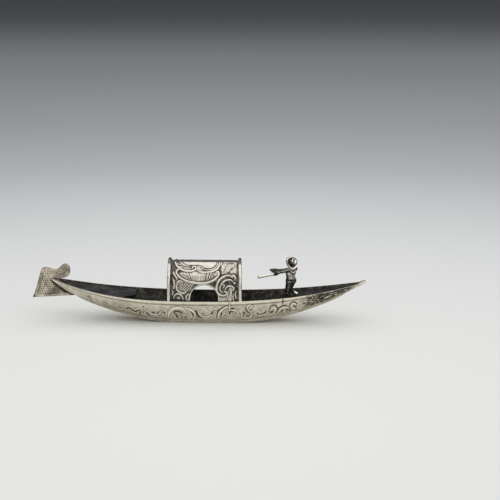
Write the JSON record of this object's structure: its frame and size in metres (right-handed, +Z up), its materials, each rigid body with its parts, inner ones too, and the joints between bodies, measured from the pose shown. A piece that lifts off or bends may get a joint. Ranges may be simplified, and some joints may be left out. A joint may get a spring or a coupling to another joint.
{
  "type": "miniature gondola",
  "caption": "Miniature metal gondola: chased sheet hull, barrel-vaulted cabin with side doorways, pierced-look bow ferro, two decks and a gondolier holding an oar stub.",
  "frame": {"origin": "on the surface the hull stands on, under the middle of the whole length and beam", "axes": "+X from the bow towards the stern, +Y to starboard, +Z up"},
  "size_m": [0.1398, 0.0212, 0.0275],
  "materials": {
    "hull_silver": "satin",
    "cabin_silver": "satin",
    "bright_silver": "polished",
    "ferro_silver": "satin",
    "oxidised_silver": "satin",
    "cast_silver": "satin",
    "solder": "matte"
  },
  "bodies": {
    "root": {"hull_side_port": "hull_silver", "hull_side_starboard": "hull_silver", "hull_bottom": "hull_silver", "stern_cap": "bright_silver", "bow_ferro": "ferro_silver", "bow_deck": "oxidised_silver", "stern_deck": "oxidised_silver", "stern_bulkhead": "oxidised_silver", "cabin_shell": "cabin_silver", "cabin_hoop_bow": "bright_silver", "cabin_hoop_stern": "bright_silver", "cabin_solder_port": "solder", "cabin_solder_starboard": "solder", "gondolier_body": "cast_silver", "gondolier_arms": "cast_silver", "gondolier_hat": "cast_silver", "gondolier_peg": "cast_silver", "oar": "bright_silver"}
  },
  "joints": []
}
